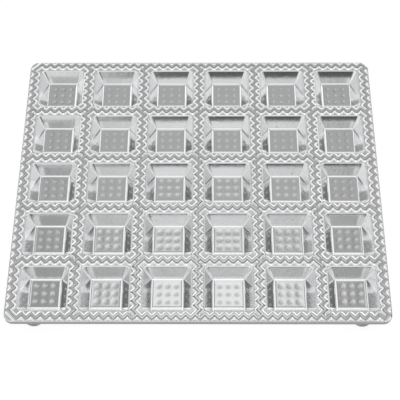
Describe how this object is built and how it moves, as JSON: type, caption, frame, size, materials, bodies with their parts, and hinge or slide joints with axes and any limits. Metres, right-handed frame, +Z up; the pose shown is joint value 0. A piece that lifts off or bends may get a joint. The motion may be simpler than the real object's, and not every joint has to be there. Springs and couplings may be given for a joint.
{
  "type": "ravioli mould",
  "caption": "Cast aluminium ravioli mould: a plate of square tapered pockets with zig-zag cutting ridges along every cell border, on low screwed rubber feet",
  "frame": {"origin": "centre of the footprint, on the surface the feet stand on", "axes": "+X along the longer side with the columns, +Y from the front edge to the back edge, +Z up"},
  "size_m": [0.26, 0.218, 0.0162],
  "materials": {
    "cast_aluminium": "bright as-cast aluminium with lightly polished pockets",
    "grey_rubber": "smooth grey rubber",
    "plain_steel": "plain zinc-coloured steel"
  },
  "bodies": {
    "root": {"mould_plate": "cast_aluminium", "foot_front_left": "grey_rubber", "washer_front_left": "plain_steel", "screw_front_left": "plain_steel", "foot_front_right": "grey_rubber", "washer_front_right": "plain_steel", "screw_front_right": "plain_steel", "foot_back_left": "grey_rubber", "washer_back_left": "plain_steel", "screw_back_left": "plain_steel", "foot_back_right": "grey_rubber", "washer_back_right": "plain_steel", "screw_back_right": "plain_steel"}
  },
  "joints": []
}
